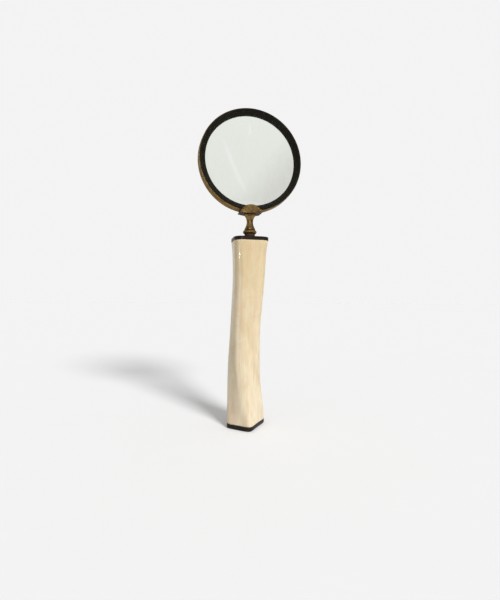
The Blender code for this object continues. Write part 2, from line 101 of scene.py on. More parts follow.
# Details of the stem, stud and handle.
COLLAR_RADIUS = 4.3
COLLAR_HEIGHT = 1.5
BEAD_HEIGHT = 3.2
FOOT_RADIUS = 4.4
FOOT_HEIGHT = 1.6
FOOT_STEP = 0.3
FOOT_GROOVE = 0.35
FOOT_LEVELS = (0.25, 0.3, 1.1, 1.2)     # above the bead: groove's top, foot ring's ends, foot's start
NECK_RADIUS = 2.6
NECK_HEIGHT = 11.6
FLARE_RADIUS = 4.9
FLARE_LIP = 0.5
THREAD_PITCH = 1.0
THREAD_DEPTH = 0.6
THREAD_LEAD_IN = 3.0
THREAD_START = 0.625        # share of a turn at which the ridge starts
THREAD_SWELL = 1.1          # above 0.5, the ridge's crest and root are flat
THREAD_LAND = 0.02
THREAD_TRIM = 0.05
THREAD_TIP = 0.2
SHANK_CONE = 0.5
SHANK_BEVEL = 0.4
PIN_CLEARANCE = 0.12
TOP_PLATE_ROUNDING = 0.45
BOTTOM_PLATE_ROUNDING = 1.4
GRIP_ROUNDING = 0.25
PLATE_EDGE = 0.12
PLATE_SUPPORT = 1.15        # a loop this many roundings in keeps the flat face's shading flat
PLATE_HOLE_BEVEL = 0.2
PINS = ("top_pin_left", "top_pin_right", "bottom_pin_front", "bottom_pin_rear")


# ---------------------------------------------------------------- measuring the frame

def node_points(node):
    """A CAD node's corners, in millimetres."""
    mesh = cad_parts[node].data
    points = np.empty(3 * len(mesh.vertices))
    mesh.vertices.foreach_get("co", points)
    return points.reshape(-1, 3) / MM


def span(node):
    low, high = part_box(node)
    return low / MM, high / MM


def smallest_radius(node, centre):
    """Distance from a Y axis through centre to the nearest corner of a node."""
    points = node_points(node)
    return np.hypot(points[:, 0] - centre.x, points[:, 2] - centre.z).min()


# ---------------------------------------------------------------- mesh helpers

def add_piece(name, points, faces, place=(0, 0, 0), turn=(0, 0, 0), sharp=40):
    """An object made from points and faces in millimetres, about its own frame."""
    mesh = bpy.data.meshes.new(name)
    mesh.from_pydata((np.asarray(points) * MM).tolist(), [], faces)
    bm = bmesh.new()
    bm.from_mesh(mesh)
    bmesh.ops.remove_doubles(bm, verts=bm.verts, dist=1e-7)
    bmesh.ops.recalc_face_normals(bm, faces=bm.faces)
    bm.to_mesh(mesh)
    bm.free()
    mesh.shade_smooth()
    mesh.set_sharp_from_angle(angle=math.radians(sharp))
    piece = bpy.data.objects.new(name, mesh)
    bpy.context.scene.collection.objects.link(piece)
    piece.location = Vector(place) * MM
    piece.rotation_euler = turn
    bpy.context.view_layer.update()
    return piece


def hand_over(piece, body, node, material):
    """The piece moves with a body, stands for a CAD node and wears a material."""
    piece.data.materials.clear()
    piece.data.materials.append(material)
    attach(piece, body)
    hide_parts(node)


def grid_faces(rows, columns, closed):
    """Quads between rows of points; each row is a loop, and closed joins the last row to the first."""
    faces = []
    for row in range(rows if closed else rows - 1):
        start = row * columns
        above = (row + 1) % rows * columns
        for column in range(columns):
            beside = (column + 1) % columns
            faces.append((start + column, start + beside, above + beside, above + column))
    return faces


def rounded(corners, closed=True):
    """An outline with each (x, y, radius) corner turned into an arc, as far as its sides allow.

    A support point on each side of an arc keeps the shading of the straight stretches flat.
    """
    outline = []
    count = len(corners)
    for i, (x, y, radius) in enumerate(corners):
        corner = Vector((x, y))
        if radius == 0 or (not closed and i in (0, count - 1)):
            outline.append(corner)
            continue
        back = Vector(corners[i - 1][:2]) - corner
        ahead = Vector(corners[(i + 1) % count][:2]) - corner
        half = back.angle(ahead) / 2
        reach = min(radius / math.tan(half), FILLET_SHARE * back.length, FILLET_SHARE * ahead.length)
        radius = reach * math.tan(half)
        back.normalize()
        ahead.normalize()
        centre = corner + (back + ahead).normalized() * (radius / math.sin(half))
        start = corner + back * reach - centre
        end = corner + ahead * reach - centre
        sweep = start.angle_signed(end)
        outline.append(corner + back * reach * FILLET_SUPPORT)
        for step in range(FILLET_STEPS + 1):
            angle = -sweep * step / FILLET_STEPS
            turned = Vector((start.x * math.cos(angle) - start.y * math.sin(angle),
                             start.x * math.sin(angle) + start.y * math.cos(angle)))
            outline.append(centre + turned)
        outline.append(corner + ahead * reach * FILLET_SUPPORT)
    return outline


def turned_piece(name, outline, steps, place, turn=(0, 0, 0), closed=True):
    """Turn an outline of (radius, height) points about the local Z axis."""
    points = []
    for radius, height in outline:
        for step in range(steps):
            angle = 2 * math.pi * step / steps
            points.append((radius * math.cos(angle), radius * math.sin(angle), height))
    return add_piece(name, points, grid_faces(len(outline), steps, closed), place, turn)


def arc(centre, radius, start, end, count, bead=0.0):
    """(x, y, 0) corners along an arc, with angles in degrees from +X towards +Y."""
    corners = []
    for i in range(count + 1):
        angle = math.radians(start + (end - start) * i / count)
        corners.append((centre[0] + radius * math.cos(angle), centre[1] + radius * math.sin(angle), bead))
    return corners


def cap_sphere(rim_radius, rise):
    return (rim_radius**2 + rise**2) / (2 * rise)


def cap_height(sphere, rim_radius, radius):
    """Height of a spherical cap above its rim, at a distance from its axis."""
    return math.sqrt(sphere**2 - radius**2) - math.sqrt(sphere**2 - rim_radius**2)


def smooth_curve(at, values, wanted):
    """A smooth curve through values (one row for each place in at), read at the wanted places."""
    slopes = np.gradient(values, at, axis=0)
    low = np.clip(np.searchsorted(at, wanted) - 1, 0, len(at) - 2)
    width = (at[low + 1] - at[low])[:, None]
    t = ((wanted - at[low])[:, None] / width).clip(0, 1)
    rise = values[low + 1] - values[low]
    start = slopes[low] * width
    end = slopes[low + 1] * width
    return values[low] + t * start + t**2 * (3 * rise - 2 * start - end) + t**3 * (start + end - 2 * rise)


def apply_modifiers(piece):
    """Replace a piece's mesh by what its modifiers make of it."""
    graph = bpy.context.evaluated_depsgraph_get()
    mesh = bpy.data.meshes.new_from_object(piece.evaluated_get(graph))
    piece.modifiers.clear()
    piece.data = mesh


def weld(mesh):
    """Close the slivers that a cut leaves."""
    bm = bmesh.new()
    bm.from_mesh(mesh)
    bmesh.ops.remove_doubles(bm, verts=bm.verts, dist=WELD_REACH * MM)
    bmesh.ops.dissolve_degenerate(bm, edges=bm.edges, dist=WELD_REACH * MM)
    bm.to_mesh(mesh)
    bm.free()


def carve(piece, cutters, operation="DIFFERENCE"):
    """Cut the cutters out of a piece (or keep what they share), then remove them."""
    for cutter in cutters:
        modifier = piece.modifiers.new(cutter.name, "BOOLEAN")
        modifier.operation = operation
        modifier.solver = "EXACT"
        modifier.object = cutter
    apply_modifiers(piece)
    weld(piece.data)
    for cutter in cutters:
        bpy.data.objects.remove(cutter, do_unlink=True)


# ---------------------------------------------------------------- material helpers

class NodeTree:
    """A shader node tree, with short calls for the nodes that everything below shares."""

    def __init__(self, tree):
        self.tree = tree

    def add(self, kind, inputs=None, **settings):
        made = self.tree.nodes.new(kind)
        for key, value in settings.items():
            setattr(made, key, value)
        for key, value in (inputs or {}).items():
            self.fill(made.inputs[key], value)
        return made

    def fill(self, socket, value):
        if isinstance(value, bpy.types.NodeSocket):
            self.tree.links.new(value, socket)
        else:
            socket.default_value = value

    def scaled(self, vector, factors):
        return self.add("ShaderNodeVectorMath", {0: vector, 1: factors}, operation="MULTIPLY").outputs[0]

    def calc(self, operation, *values):
        inputs = dict(enumerate(values))
        return self.add("ShaderNodeMath", inputs, operation=operation).outputs[0]

    def split(self, vector):
        return self.add("ShaderNodeSeparateXYZ", {0: vector}).outputs

    def remap(self, value, low, high, new_low=0.0, new_high=1.0):
        inputs = {"Value": value, "From Min": low, "From Max": high, "To Min": new_low, "To Max": new_high}
        return self.add("ShaderNodeMapRange", inputs, interpolation_type="SMOOTHSTEP").outputs[0]


class Recipe(NodeTree):
    """A material made of procedural nodes, in millimetres about the piece's own frame."""

    def __init__(self, name):
        self.material = bpy.data.materials.new(name)
        self.material.use_nodes = True
        super().__init__(self.material.node_tree)
        self.shader = self.tree.nodes["Principled BSDF"]
        place = self.add("ShaderNodeTexCoord").outputs["Object"]
        self.place = self.scaled(place, (1 / MM, 1 / MM, 1 / MM))

    def turning(self):
        """Coordinates that are the same all round the local Z axis: (radius, height, 0)."""
        x, y, z = self.split(self.place)
        squares = self.calc("ADD", self.calc("MULTIPLY", x, x), self.calc("MULTIPLY", y, y))
        radius = self.calc("SQRT", squares)
        return self.add("ShaderNodeCombineXYZ", {0: radius, 1: z}).outputs[0]

    def noise(self, vector, factors, detail=3.0, roughness=0.5, distortion=0.0):
        """Noise from 0 to 1, with factors in features per millimetre along each axis."""
        inputs = {"Vector": self.scaled(vector, factors), "Scale": 1.0, "Detail": detail,
                  "Roughness": roughness, "Distortion": distortion}
        return self.add("ShaderNodeTexNoise", inputs).outputs["Fac"]

    def ramp(self, value, *stops):
        """A colour that goes through (position, colour) stops."""
        node = self.add("ShaderNodeValToRGB", {"Fac": value})
        elements = node.color_ramp.elements
        while len(elements) < len(stops):
            elements.new(0.5)
        for element, (position, colour) in zip(elements, stops):
            element.position = position
            element.color = (*colour, 1.0)
        return node.outputs["Color"]

    def mix(self, factor, first, second, blend="MIX"):
        """Two colours, mixed."""
        node = self.add("ShaderNodeMix", data_type="RGBA", blend_type=blend)
        colours = [value if isinstance(value, bpy.types.NodeSocket) else (*value, 1.0)
                   for value in (first, second)]
        for socket, value in ((0, factor), (6, colours[0]), (7, colours[1])):
            self.fill(node.inputs[socket], value)
        return node.outputs[2]

    def edges(self, distance):
        """1 on outer edges, 0 on open faces."""
        inputs = {"Distance": distance * MM}
        node = self.add("ShaderNodeAmbientOcclusion", inputs, inside=True, only_local=True, samples=8)
        return self.remap(node.outputs["AO"], 0.85, 0.35)

    def hollows(self, distance):
        """1 deep in corners and grooves, 0 on open faces."""
        inputs = {"Distance": distance * MM}
        node = self.add("ShaderNodeAmbientOcclusion", inputs, samples=8)
        return self.remap(node.outputs["AO"], 0.9, 0.25)

    def bump(self, height, depth, normal=None):
        """A bump whose full height is depth millimetres."""
        inputs = {"Height": height, "Distance": depth * MM, "Strength": 1.0}
        if normal:
            inputs["Normal"] = normal
        return self.add("ShaderNodeBump", inputs).outputs[0]

    def finish(self, **inputs):
        for name, value in inputs.items():
            if isinstance(value, tuple) and len(value) == 3 and name != "Subsurface_Radius":
                value = (*value, 1.0)
            self.fill(self.shader.inputs[name.replace("_", " ")], value)
        return self.material


# ---------------------------------------------------------------- materials

# Tints of what the brass mirrors at a flat angle: the band's, and that of the cast and turned pieces.
BAND_GLANCE = (0.53, 0.50, 0.46)
CAST_GLANCE = (0.37, 0.345, 0.31)


def painted_shade_under(recipe):
    """Painted shade: 1 on the underside of a piece whose local Y is up."""
    normal = recipe.add("ShaderNodeTexCoord").outputs["Normal"]
    return recipe.remap(recipe.split(normal)[1], -0.35, -0.85)


def painted_shade_collar(recipe):
    """Painted shade: 1 on the stem's collar, 0 from its bead up."""
    return recipe.remap(recipe.split(recipe.place)[2], COLLAR_HEIGHT + 0.7, COLLAR_HEIGHT)


def antique_brass(name, turned, glance, painted_shade_mask=None):
    """Brass gone olive and brown with age, brighter where hands rub its edges.

    Glance is the tint of what it mirrors at a flat angle, and the last argument gives places darkened
    with painted shade, besides the patina in its hollows.
    """
    recipe = Recipe(name)
    patina = recipe.noise(recipe.place, (0.22, 0.22, 0.22), 6, 0.6, 0.6)
    blotches = recipe.noise(recipe.place, (1.1, 1.1, 1.1), 5, 0.65)
    colour = recipe.ramp(patina, (0.30, (0.10, 0.064, 0.024)), (0.47, (0.20, 0.128, 0.048)),
                         (0.62, (0.33, 0.205, 0.075)), (0.8, (0.25, 0.185, 0.07)))
    colour = recipe.mix(recipe.remap(blotches, 0.5, 0.75, 0, 0.5), colour, (0.11, 0.078, 0.036))
    rub = recipe.calc("MULTIPLY", recipe.edges(0.5), recipe.remap(blotches, 0.3, 0.6, 0.25, 0.8))
    colour = recipe.mix(rub, colour, (0.62, 0.44, 0.19))
    # Patina darkens the hollows, and the mask from the last argument adds painted shade; both darken,
    # roughen and dull the brass.
    grime_and_shade = recipe.hollows(1.2)
    if painted_shade_mask:
        grime_and_shade = recipe.calc("MAXIMUM", grime_and_shade, painted_shade_mask(recipe))
    colour = recipe.mix(recipe.calc("MULTIPLY", grime_and_shade, 0.8), colour, (0.03, 0.019, 0.009))
    if turned:
        marks = recipe.noise(recipe.turning(), (7, 7, 1), 4, 0.7)
        height = recipe.bump(marks, 0.02)
    else:
        marks = recipe.noise(recipe.place, (2.5, 2.5, 2.5), 4, 0.6)
        height = recipe.bump(marks, 0.05)
    height = recipe.bump(blotches, 0.02, height)
    roughness = recipe.remap(blotches, 0.3, 0.75, 0.24, 0.46)
    roughness = recipe.calc("ADD", roughness, recipe.calc("MULTIPLY", grime_and_shade, 0.25))
    dullness = recipe.calc("MULTIPLY", grime_and_shade, 0.6)
    return recipe.finish(Base_Color=colour, Metallic=recipe.calc("SUBTRACT", 1.0, dullness),
                         Roughness=roughness, Normal=height, Specular_Tint=glance,
                         Specular_IOR_Level=0.3)


def black_enamel():
    """Baked black paint over metal, a little brown where its edges are worn."""
    recipe = Recipe("black_enamel_fine")
    peel = recipe.noise(recipe.place, (2.2, 2.2, 2.2), 3, 0.5)
    dust = recipe.noise(recipe.place, (0.35, 0.35, 0.35), 6, 0.7)
    colour = recipe.ramp(dust, (0.35, (0.007, 0.0062, 0.0040)), (0.7, (0.015, 0.0130, 0.0085)))
    worn = recipe.calc("MULTIPLY", recipe.edges(0.35), recipe.remap(dust, 0.4, 0.65, 0.1, 0.7))
    colour = recipe.mix(worn, colour, (0.07, 0.05, 0.028))
    roughness = recipe.remap(dust, 0.3, 0.7, 0.32, 0.5)
    return recipe.finish(Base_Color=colour, Roughness=roughness, Normal=recipe.bump(peel, 0.008),
                         Specular_IOR_Level=0.07)


# Painted reflection streaks on the lens: how each leans and bows, where it lies, and where it fades.
LONG_REFLECTION_STREAK = {"lean": (0.92, 0.39), "bow": 0.002, "offset": 15.6, "sides": (2.2, 0.3),
               "middle": -6.0, "ends": (27.0, 8.0)}
SHORT_REFLECTION_STREAK = {"lean": (1.0, 0.0), "bow": 0.0, "offset": 1.0, "sides": (1.2, 0.2),
                "middle": 26.0, "ends": (6.0, 3.0)}


def painted_reflection_streak(recipe, lean, bow, offset, sides, middle, ends):
    """1 along a leaning, slightly bowed painted reflection streak on the glass, fading towards its sides
    and ends.
    """
    x, y = recipe.split(recipe.place)[:2]
    across = recipe.calc("ADD", recipe.calc("MULTIPLY", x, lean[0]), recipe.calc("MULTIPLY", y, lean[1]))
    across = recipe.calc("SUBTRACT", across, recipe.calc("MULTIPLY", recipe.calc("MULTIPLY", y, y), bow))
    beside = recipe.calc("ABSOLUTE", recipe.calc("ADD", across, offset))
    along = recipe.calc("ABSOLUTE", recipe.calc("SUBTRACT", y, middle))
    return recipe.calc("MULTIPLY", recipe.remap(beside, *sides), recipe.remap(along, *ends))


def optical_glass():
    """Faintly green glass with handling smudges, painted shade and painted reflection streaks, which lets
    the light through.

    In the ring's frame X is sideways and Y is up. Painted shade darkens the tint towards the lower right,
    smudges break it up, and painted reflection streaks lighten it: a long one across the left half and a
    short one near the top.
    """
    recipe = Recipe("optical_glass_fine")
    smears = recipe.noise(recipe.place, (0.12, 0.05, 0.1), 6, 0.65, 1.5)
    x, y = recipe.split(recipe.place)[:2]
    # Painted shade: the tint darkens towards the lower right, broken up by the smudges.
    painted_shade_and_smears = recipe.calc("SUBTRACT", recipe.calc("MULTIPLY", x, 0.75), recipe.calc("MULTIPLY", y, 0.65))
    painted_shade_and_smears = recipe.remap(painted_shade_and_smears, 2.0, 36.0)
    painted_shade_and_smears = recipe.calc("ADD", painted_shade_and_smears, recipe.remap(smears, 0.35, 0.7, -0.12, 0.12))
    tint = recipe.ramp(painted_shade_and_smears, (0.0, (0.87, 0.905, 0.845)), (1.0, (0.735, 0.745, 0.695)))
    # Painted reflection streaks, which lighten the tint below.
    long_streak = painted_reflection_streak(recipe, **LONG_REFLECTION_STREAK)
    short_streak = painted_reflection_streak(recipe, **SHORT_REFLECTION_STREAK)
    reflection_streaks = recipe.calc("MAXIMUM", long_streak, recipe.calc("MULTIPLY", short_streak, 0.9))
    tint = recipe.mix(recipe.calc("MULTIPLY", reflection_streaks, 0.75), tint, (0.97, 0.99, 0.95))
    roughness = recipe.remap(smears, 0.45, 0.8, 0.0, 0.05)
    recipe.finish(Base_Color=tint, Roughness=roughness, Transmission_Weight=1.0, IOR=1.5)
    shade = recipe.add("ShaderNodeBsdfTransparent", {"Color": (0.17, 0.19, 0.17, 1.0)})
    path = recipe.add("ShaderNodeLightPath")
    chooser = recipe.add("ShaderNodeMixShader", {
        0: path.outputs["Is Shadow Ray"], 1: recipe.shader.outputs[0], 2: shade.outputs[0]})
    output = recipe.tree.nodes["Material Output"]
    recipe.tree.links.new(chooser.outputs[0], output.inputs["Surface"])
    return recipe.material


def polished_bone():
    """Camel bone: cream with yellow and tan clouds, fine grain along the shaft, and open pores."""
    recipe = Recipe("polished_bone_fine")
    low, high = span("grip")
    height = recipe.remap(recipe.split(recipe.place)[2], low.z, high.z)
    clouds = recipe.noise(recipe.place, (0.10, 0.10, 0.035), 5, 0.5, 0.4)
    flush = recipe.noise(recipe.place, (0.17, 0.17, 0.11), 5, 0.6, 0.4)
    grain = recipe.noise(recipe.place, (1.0, 1.0, 0.035), 5, 0.65, 0.2)
    colour = recipe.ramp(clouds, (0.36, (0.54, 0.43, 0.295)), (0.47, (0.615, 0.525, 0.375)),
                         (0.56, (0.655, 0.57, 0.42)), (0.67, (0.60, 0.50, 0.345)))
    age = recipe.calc("MULTIPLY", height, recipe.remap(clouds, 0.3, 0.7, 0.95, 0.6))
    colour = recipe.mix(age, colour, (0.545, 0.43, 0.245))
    blush = recipe.calc("MULTIPLY", recipe.remap(flush, 0.47, 0.66, 0, 0.6),
                        recipe.remap(height, 0.1, 0.7, 0.3, 1.0))
    colour = recipe.mix(blush, colour, (0.56, 0.415, 0.265))
    colour = recipe.mix(recipe.remap(grain, 0.45, 0.72, 0, 0.35), colour, (0.44, 0.33, 0.21))
    pores = recipe.add("ShaderNodeTexVoronoi", {"Vector": recipe.scaled(recipe.place, (0.55, 0.55, 0.12)),
                                                "Scale": 1.0, "Randomness": 1.0}).outputs["Distance"]
    open_pores = recipe.calc("MULTIPLY", recipe.remap(pores, 0.13, 0.05), recipe.remap(flush, 0.5, 0.62))
    colour = recipe.mix(recipe.calc("MULTIPLY", open_pores, 0.55), colour, (0.34, 0.22, 0.12))
    colour = recipe.mix(recipe.calc("MULTIPLY", recipe.hollows(1.5), 0.5), colour, (0.35, 0.23, 0.12))
    roughness = recipe.remap(grain, 0.3, 0.8, 0.26, 0.46)
    relief = recipe.bump(grain, 0.03)
    relief = recipe.bump(recipe.calc("MULTIPLY", open_pores, -1.0), 0.08, relief)
    return recipe.finish(Base_Color=colour, Roughness=roughness, Normal=relief,
                         Subsurface_Weight=0.25, Subsurface_Radius=(1.0, 0.55, 0.28),
                         Subsurface_Scale=1.6 * MM, Specular_IOR_Level=0.12, Coat_Weight=0.3,
                         Coat_Roughness=0.06)


def dark_horn():
    """Buffalo horn, nearly black, with brown streaks and a satin polish."""
    recipe = Recipe("dark_horn_fine")
    streaks = recipe.noise(recipe.place, (0.15, 0.9, 0.5), 5, 0.6, 0.5)
    colour = recipe.ramp(streaks, (0.4, (0.008, 0.007, 0.006)), (0.62, (0.018, 0.013, 0.009)),
                         (0.8, (0.045, 0.026, 0.015)))
    colour = recipe.mix(recipe.calc("MULTIPLY", recipe.edges(0.6), 0.45), colour, (0.05, 0.034, 0.022))
    roughness = recipe.remap(streaks, 0.3, 0.8, 0.3, 0.48)
    return recipe.finish(Base_Color=colour, Roughness=roughness, Normal=recipe.bump(streaks, 0.03),
                         Specular_IOR_Level=0.12)


def dark_fibre():
    recipe = Recipe("dark_fibre_fine")
    fibres = recipe.noise(recipe.turning(), (3, 9, 1), 5, 0.7)
    specks = recipe.noise(recipe.place, (4, 4, 4), 3, 0.6)
    colour = recipe.ramp(fibres, (0.3, (0.018, 0.012, 0.008)), (0.75, (0.075, 0.045, 0.026)))
    colour = recipe.mix(recipe.remap(specks, 0.6, 0.8, 0, 0.5), colour, (0.11, 0.07, 0.04))
    return recipe.finish(Base_Color=colour, Roughness=0.62, Normal=recipe.bump(fibres, 0.04))


def gasket_rubber():
    recipe = Recipe("gasket_rubber_fine")
    bloom = recipe.noise(recipe.place, (0.8, 0.8, 0.8), 5, 0.7)
    colour = recipe.ramp(bloom, (0.35, (0.012, 0.012, 0.011)), (0.75, (0.035, 0.034, 0.031)))
    roughness = recipe.remap(bloom, 0.3, 0.7, 0.7, 0.9)
    return recipe.finish(Base_Color=colour, Roughness=roughness, Normal=recipe.bump(bloom, 0.02))


def turned_metal(name, dark, light, place=(0, 0, 0)):
    """Bright machined metal with fine turning rings about an upright axis."""
    recipe = Recipe(name)
    recipe.place = recipe.add("ShaderNodeVectorMath", {0: recipe.place, 1: place},
                              operation="SUBTRACT").outputs[0]
    rings = recipe.noise(recipe.turning(), (5, 5, 1), 4, 0.7)
    stains = recipe.noise(recipe.place, (0.5, 0.5, 0.5), 5, 0.6)
    colour = recipe.ramp(stains, (0.3, dark), (0.7, light))
    oil = recipe.calc("MULTIPLY", recipe.hollows(0.6), 0.7)
    colour = recipe.mix(oil, colour, tuple(0.15 * value for value in dark))
    roughness = recipe.remap(rings, 0.3, 0.7, 0.24, 0.42)
    return recipe.finish(Base_Color=colour, Metallic=1.0, Roughness=roughness,
                         Normal=recipe.bump(rings, 0.012))


def hardwood():
    recipe = Recipe("hardwood_fine")
    rings = recipe.noise(recipe.place, (0.9, 0.35, 0.02), 4, 0.55, 0.6)
    fibres = recipe.noise(recipe.place, (5, 5, 0.08), 4, 0.7)
    colour = recipe.ramp(rings, (0.35, (0.22, 0.115, 0.05)), (0.65, (0.46, 0.28, 0.14)))
    colour = recipe.mix(recipe.remap(fibres, 0.5, 0.8, 0, 0.5), colour, (0.14, 0.07, 0.03))
    return recipe.finish(Base_Color=colour, Roughness=0.6, Normal=recipe.bump(fibres, 0.05))


# ---------------------------------------------------------------- head

def ring_place():
    """Centre of the ring, and the turn that points its local Z forward and its local Y up."""
    low, high = span("rim_band")
    return (low + high) / 2, (math.pi / 2, 0, 0)


def rim_sizes():
    """The band's rear and front radius and its half width."""
    centre = ring_place()[0]
    points = node_points("rim_band")
    reach = np.hypot(points[:, 0] - centre.x, points[:, 2] - centre.z)
    front = reach[points[:, 1] < centre.y].max()
    half = centre.y - points[:, 1].min()
    return reach.max(), front, half


def build_rim_band():
    """The band: wider at the rear, with a groove near its rear edge, and softly worn edges."""
    centre, turn = ring_place()
    rear, front, half = rim_sizes()
    bore = smallest_radius("rim_band", centre)
    groove = rear - GROOVE_DEPTH
    groove_low = GROOVE_FROM_REAR - half
    groove_high = groove_low + GROOVE_WIDTH
    bevels = []
    for node in ("bezel_rear", "bezel_front"):
        outer, fall = bezel_slope(node)
        bend = outer - BEZEL_BEND + CLEARANCE / 2
        bevels.append((bend, half - fall * (bend - bore)))
    (rear_bend, rear_low), (front_bend, front_low) = bevels
    corners = ((bore, -rear_low, 0.1), (rear_bend, -half, 0.1), (rear, -half, 0.4),
               (rear, groove_low, 0.2), (groove, groove_low + GROOVE_WIDTH / 4, 0.15),
               (groove, groove_high - GROOVE_WIDTH / 4, 0.15), (rear, groove_high, 0.2),
               (front, half, 0.35), (front_bend, half, 0.1), (bore, front_low, 0.1))
    band = turned_piece("brass_band", rounded(corners), RING_STEPS, centre, turn)
    carve(band, [screw_hole()])
    brass = antique_brass("antique_brass_band", True, BAND_GLANCE)
    hand_over(band, "head", "rim_band", brass)


def screw_hole():
    """A cutter for the saddle screw's hole, down through the rim and the saddle."""
    low, high = span("saddle_screw")
    head = (high.x - low.x) / 2
    shaft = screw_shaft_radius()
    cone_low = high.z - (head - shaft)
    start = low.z - CUT_OVERRUN
    end = high.z + CUT_OVERRUN
    corners = ((0, start), (shaft + CLEARANCE, start), (shaft + CLEARANCE, cone_low - CLEARANCE),
               (head + CLEARANCE, high.z - CLEARANCE), (head + CLEARANCE, end), (0, end))
    place = ((low.x + high.x) / 2, (low.y + high.y) / 2, 0)
    return turned_piece("screw_hole", corners, SCREW_HOLE_STEPS, place, OFF_GRID, closed=False)


def bezel_levels():
    """Distances from the ring's middle plane: a bezel's face, and the lower and upper end of its
    edge at the glass."""
    centre = ring_place()[0]
    face = centre.y - span("bezel_front")[0].y
    seat = centre.y - span("lens_gasket_front")[0].y + CLEARANCE / 2
    return face, seat, seat + BEZEL_EDGE


def bezel_slope(node):
    """A bezel's outer radius, and how fast its slope falls in to the glass."""
    low, high = span(node)
    outer = (high.x - low.x) / 2
    face, _, edge = bezel_levels()
    width = outer - BEZEL_LAND - smallest_radius(node, ring_place()[0])
    return outer, (face - edge) / width


def bezel_corners(node):
    """Half section of a bezel: flange, rounded lip, land, and a hollow slope in to the glass."""
    centre = ring_place()[0]
    outer, fall = bezel_slope(node)
    slope_top = outer - BEZEL_LAND
    face, seat, edge = bezel_levels()
    aperture = smallest_radius(node, centre)
    flange_low = rim_sizes()[2] + CLEARANCE
    lens_low, lens_high = span("lens")
    spigot_inner = (lens_high.x - lens_low.x) / 2 + CLEARANCE
    spigot_outer = smallest_radius("rim_band", centre) - CLEARANCE
    bend = outer - BEZEL_BEND
    spigot_high = flange_low - fall * (bend - spigot_outer)
    slope = []
    for i in range(1, BEZEL_STEPS):
        share = i / BEZEL_STEPS
        sag = BEZEL_HOLLOW * math.sin(math.pi * share)
        slope.append((slope_top + (aperture - slope_top) * share, face + (edge - face) * share - sag, 0))
    return [(outer, flange_low, 0.1), (outer, face, 0.4), (slope_top, face, 0.5), *slope,
            (aperture, edge, 0.3), (aperture, seat, 0.05), (spigot_inner, seat, 0.05),
            (spigot_inner, CLEARANCE, 0.1), (spigot_outer, CLEARANCE, 0.1),
            (spigot_outer, spigot_high, 0.05), (bend, flange_low, 0.05)]


def build_bezels(enamel):
    centre, turn = ring_place()
    for name, node, rotation in (("front_bezel", "bezel_front", turn),
                                 ("rear_bezel", "bezel_rear", (-turn[0], 0, 0))):
        bezel = turned_piece(name, rounded(bezel_corners(node)), RING_STEPS, centre, rotation)
        hand_over(bezel, "head", node, enamel)


def build_lens(glass):
    """A biconvex lens with a ground edge."""
    centre, turn = ring_place()
    low, high = span("lens")
    radius = (high.x - low.x) / 2
    half = (high.y - low.y) / 2
    sphere = cap_sphere(radius, half - LENS_EDGE / 2)
    face = []
    for i in range(LENS_STEPS + 1):
        at = radius * i / LENS_STEPS
        face.append((at, LENS_EDGE / 2 + cap_height(sphere, radius, at)))
    outline = face + [(at, -height) for at, height in reversed(face)]
    lens = turned_piece("lens_glass", outline, RING_STEPS, centre, turn, closed=False)
    hand_over(lens, "head", "lens", glass)


def build_saddle():
    """The cast seat: a puck with domed, rimmed lobes, hollowed on top to the rim's curve."""
    centre, turn = ring_place()
    rear, front, half = rim_sizes()
    low, high = span("saddle")
    seat_radius = rear + CLEARANCE
    front_radius = front + CLEARANCE
    under_radius = seat_radius + SADDLE_THICKNESS
    taper_start = GROOVE_FROM_REAR + GROOVE_WIDTH - half
    slot_half = centre.y - span("bezel_front")[0].y + CLEARANCE
    top = (high.y - low.y) / 2
    flat = top - LOBE_DOME
    dome = LOBE_RADIUS - LOBE_BEAD * 1.8
    sphere = cap_sphere(dome, LOBE_DOME)
    face = []
    for i in range(DOME_STEPS + 1):
        at = dome * i / DOME_STEPS
        face.append((at, flat + cap_height(sphere, dome, at), 0))
    face.append((dome + LOBE_BEAD * 0.35, flat - LOBE_GROOVE, 0))
    face += arc((LOBE_RADIUS - LOBE_BEAD / 2, flat - LOBE_BEAD_SINK), LOBE_BEAD / 2, 140, 0, BEAD_STEPS)
    outline = [point[:2] for point in face]
    outline += [(radius, -height) for radius, height in reversed(outline)]
    puck_place = centre - Vector((0, 0, under_radius + LOBE_DROP))
    saddle = turned_piece("cast_saddle", outline, SADDLE_STEPS, puck_place, turn, closed=False)
    depth = SADDLE_BLANK_DEPTH
    body = [(0, -depth), (under_radius, -depth), (under_radius, depth), (0, depth)]
    slot = [(0, -slot_half), (seat_radius, -slot_half), (seat_radius, taper_start),
            (front_radius, half), (front_radius, slot_half), (0, slot_half)]
    outside = turned_piece("saddle_body", body, SADDLE_CUT_STEPS, centre, turn, closed=False)
    inside = turned_piece("saddle_slot", slot, SADDLE_CUT_STEPS, centre, turn, closed=False)
    carve(saddle, [outside], "INTERSECT")
    carve(saddle, [inside, screw_hole()])
    remesh = saddle.modifiers.new("fine_skin", "REMESH")
    remesh.mode = "VOXEL"
    remesh.voxel_size = SADDLE_VOXEL * MM
    remesh.use_smooth_shade = True
    soften = saddle.modifiers.new("softened", "SMOOTH")
    soften.factor = 0.5
    soften.iterations = 4
    apply_modifiers(saddle)
    # The saddle's underside is darkened with painted shade.
    brass = antique_brass("antique_brass_cast", False, CAST_GLANCE, painted_shade_under)
    hand_over(saddle, "head", "saddle", brass)


def sweep_out(neck, end):
    """An arc from the neck, where it is upright, out to a wider end, as (x, y, 0) corners."""
    rise = end[1] - neck[1]
    radius = cap_sphere(abs(rise), end[0] - neck[0])
    corners = []
    for i in range(SWEEP_STEPS + 1):
        height = rise * i / SWEEP_STEPS
        corners.append((neck[0] + radius - math.sqrt(radius**2 - height**2), neck[1] + height, 0))
    return corners


def screw_shaft_radius():
    low = span("saddle_screw")[0]
    points = node_points("saddle_screw")
    shaft = points[points[:, 2] < low.z + PLAIN_SHAFT]
    return (shaft[:, 0].max() - shaft[:, 0].min()) / 2


